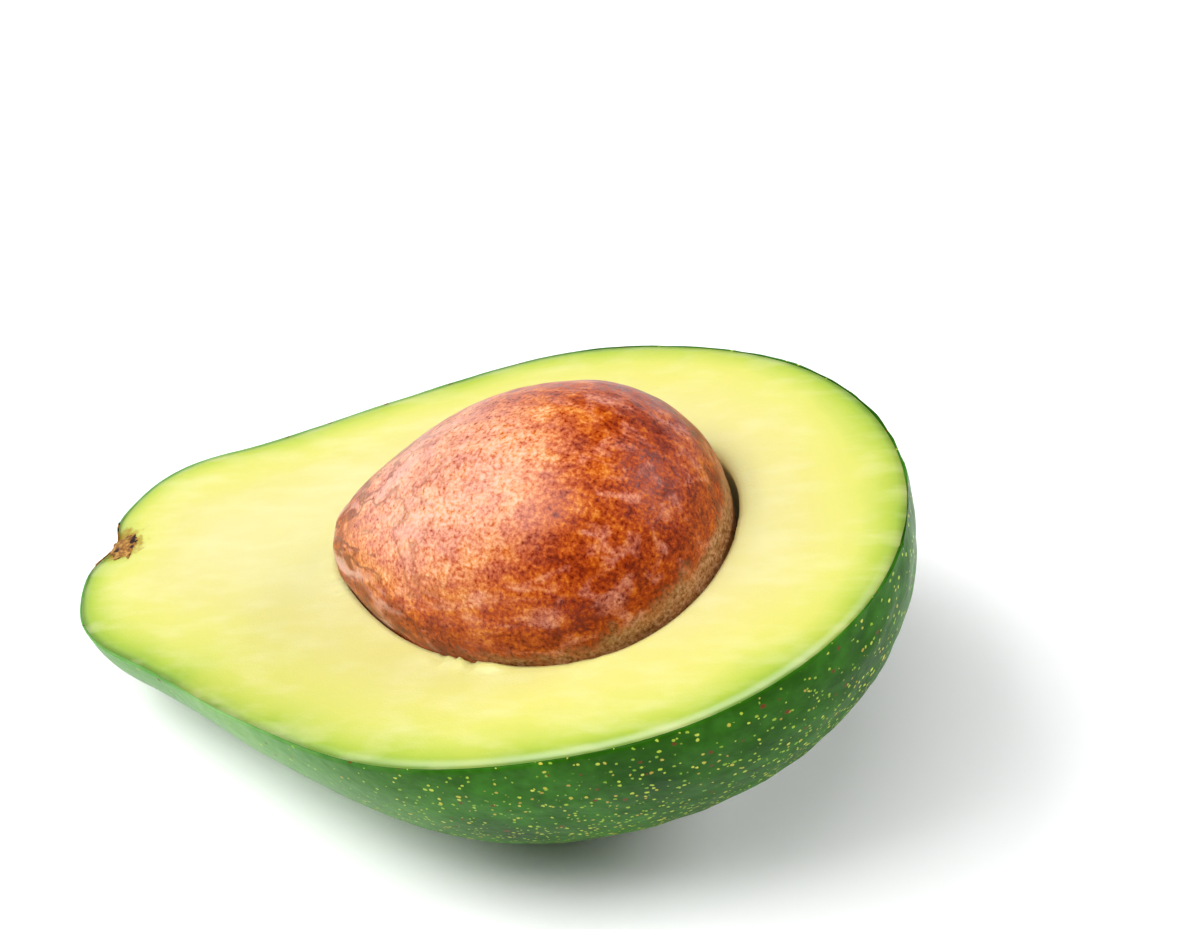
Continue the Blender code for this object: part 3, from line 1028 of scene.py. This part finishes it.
def studio_air():
    """A world that is pale along the horizon and dark overhead, as in a studio with white walls."""
    world = bpy.data.worlds.new("studio_air")
    world.use_nodes = True
    tree = world.node_tree
    direction = add(tree, COORDINATES)["Generated"]
    height = add(tree, "ShaderNodeSeparateXYZ", inputs={"Vector": direction})["Z"]
    # It falls off between 6 and 12 degrees above the horizon
    glow = {"Value": height, "From Min": 0.11, "From Max": 0.2, "To Min": 0.8, "To Max": 0.04}
    glow = add(tree, RANGE, SMOOTH, glow)["Result"]
    air = tree.nodes["Background"]
    tree.links.new(glow, air.inputs["Strength"])
    air.inputs["Color"].default_value = linear("#F3F5FA")
    return world


def make_studio(studio):
    """The floor, the camera, the air and the softboxes."""
    scene = bpy.context.scene
    make_floor()
    make_camera(studio)
    scene.world = studio_air()
    for softbox in SOFTBOXES:
        make_softbox(*softbox)
    scene.view_settings.view_transform = "Standard"


# ---------------------------------------------------------------- operators and panel


class AVOCADO_OT_peel(Operator):
    """Make the peel: the green skin of the half fruit"""

    bl_idname = "avocado.make_peel"
    bl_label = "Peel"

    def execute(self, context):
        make_peel(context.scene.avocado_fruit, context.scene.avocado_colours)
        return {"FINISHED"}


class AVOCADO_OT_flesh(Operator):
    """Make the flesh with the hollow for the stone"""

    bl_idname = "avocado.make_flesh"
    bl_label = "Flesh"

    def execute(self, context):
        scene = context.scene
        make_flesh(scene.avocado_fruit, scene.avocado_stone, scene.avocado_colours)
        return {"FINISHED"}


class AVOCADO_OT_stone(Operator):
    """Make the stone"""

    bl_idname = "avocado.make_stone"
    bl_label = "Stone"

    def execute(self, context):
        scene = context.scene
        make_stone(scene.avocado_fruit, scene.avocado_stone, scene.avocado_colours)
        return {"FINISHED"}


class AVOCADO_OT_stem_scar(Operator):
    """Make the stalk's woody seat in the dimple"""

    bl_idname = "avocado.make_stem_scar"
    bl_label = "Stem scar"

    def execute(self, context):
        make_stem_scar(context.scene.avocado_fruit, context.scene.avocado_colours)
        return {"FINISHED"}


class AVOCADO_OT_stem_collar(Operator):
    """Make the papery flake that lines the dimple"""

    bl_idname = "avocado.make_stem_collar"
    bl_label = "Stem collar"

    def execute(self, context):
        make_stem_collar(context.scene.avocado_fruit, context.scene.avocado_colours)
        return {"FINISHED"}


class AVOCADO_OT_studio(Operator):
    """Make the floor, the lights and the camera"""

    bl_idname = "avocado.make_studio"
    bl_label = "Studio"

    def execute(self, context):
        make_studio(context.scene.avocado_studio)
        return {"FINISHED"}


class AVOCADO_PT_panel(Panel):
    """Lists the pieces of the half avocado"""

    bl_idname = "AVOCADO_PT_panel"
    bl_label = "Half avocado"
    bl_space_type = "VIEW_3D"
    bl_region_type = "UI"
    bl_category = "Avocado"

    def draw(self, context):
        for name in GROUPS:
            group = getattr(context.scene, name)
            box = self.layout.box()
            for setting in group.__annotations__:
                box.prop(group, setting)
        for operator in OPERATORS:
            self.layout.operator(operator.bl_idname)


GROUPS = {
    "avocado_fruit": FruitSizes,
    "avocado_stone": StoneSizes,
    "avocado_colours": FruitColours,
    "avocado_studio": StudioSettings,
}
OPERATORS = (
    AVOCADO_OT_peel,
    AVOCADO_OT_flesh,
    AVOCADO_OT_stone,
    AVOCADO_OT_stem_scar,
    AVOCADO_OT_stem_collar,
    AVOCADO_OT_studio,
)


def register():
    for name, group in GROUPS.items():
        bpy.utils.register_class(group)
        setattr(bpy.types.Scene, name, PointerProperty(type=group))
    for shown in (*OPERATORS, AVOCADO_PT_panel):
        bpy.utils.register_class(shown)


def unregister():
    for shown in (AVOCADO_PT_panel, *reversed(OPERATORS)):
        bpy.utils.unregister_class(shown)
    for name, group in GROUPS.items():
        delattr(bpy.types.Scene, name)
        bpy.utils.unregister_class(group)


def main():
    register()
    bpy.ops.avocado.make_peel()
    bpy.ops.avocado.make_flesh()
    bpy.ops.avocado.make_stone()
    bpy.ops.avocado.make_stem_scar()
    bpy.ops.avocado.make_stem_collar()
    bpy.ops.avocado.make_studio()


if __name__ == "__main__":
    main()
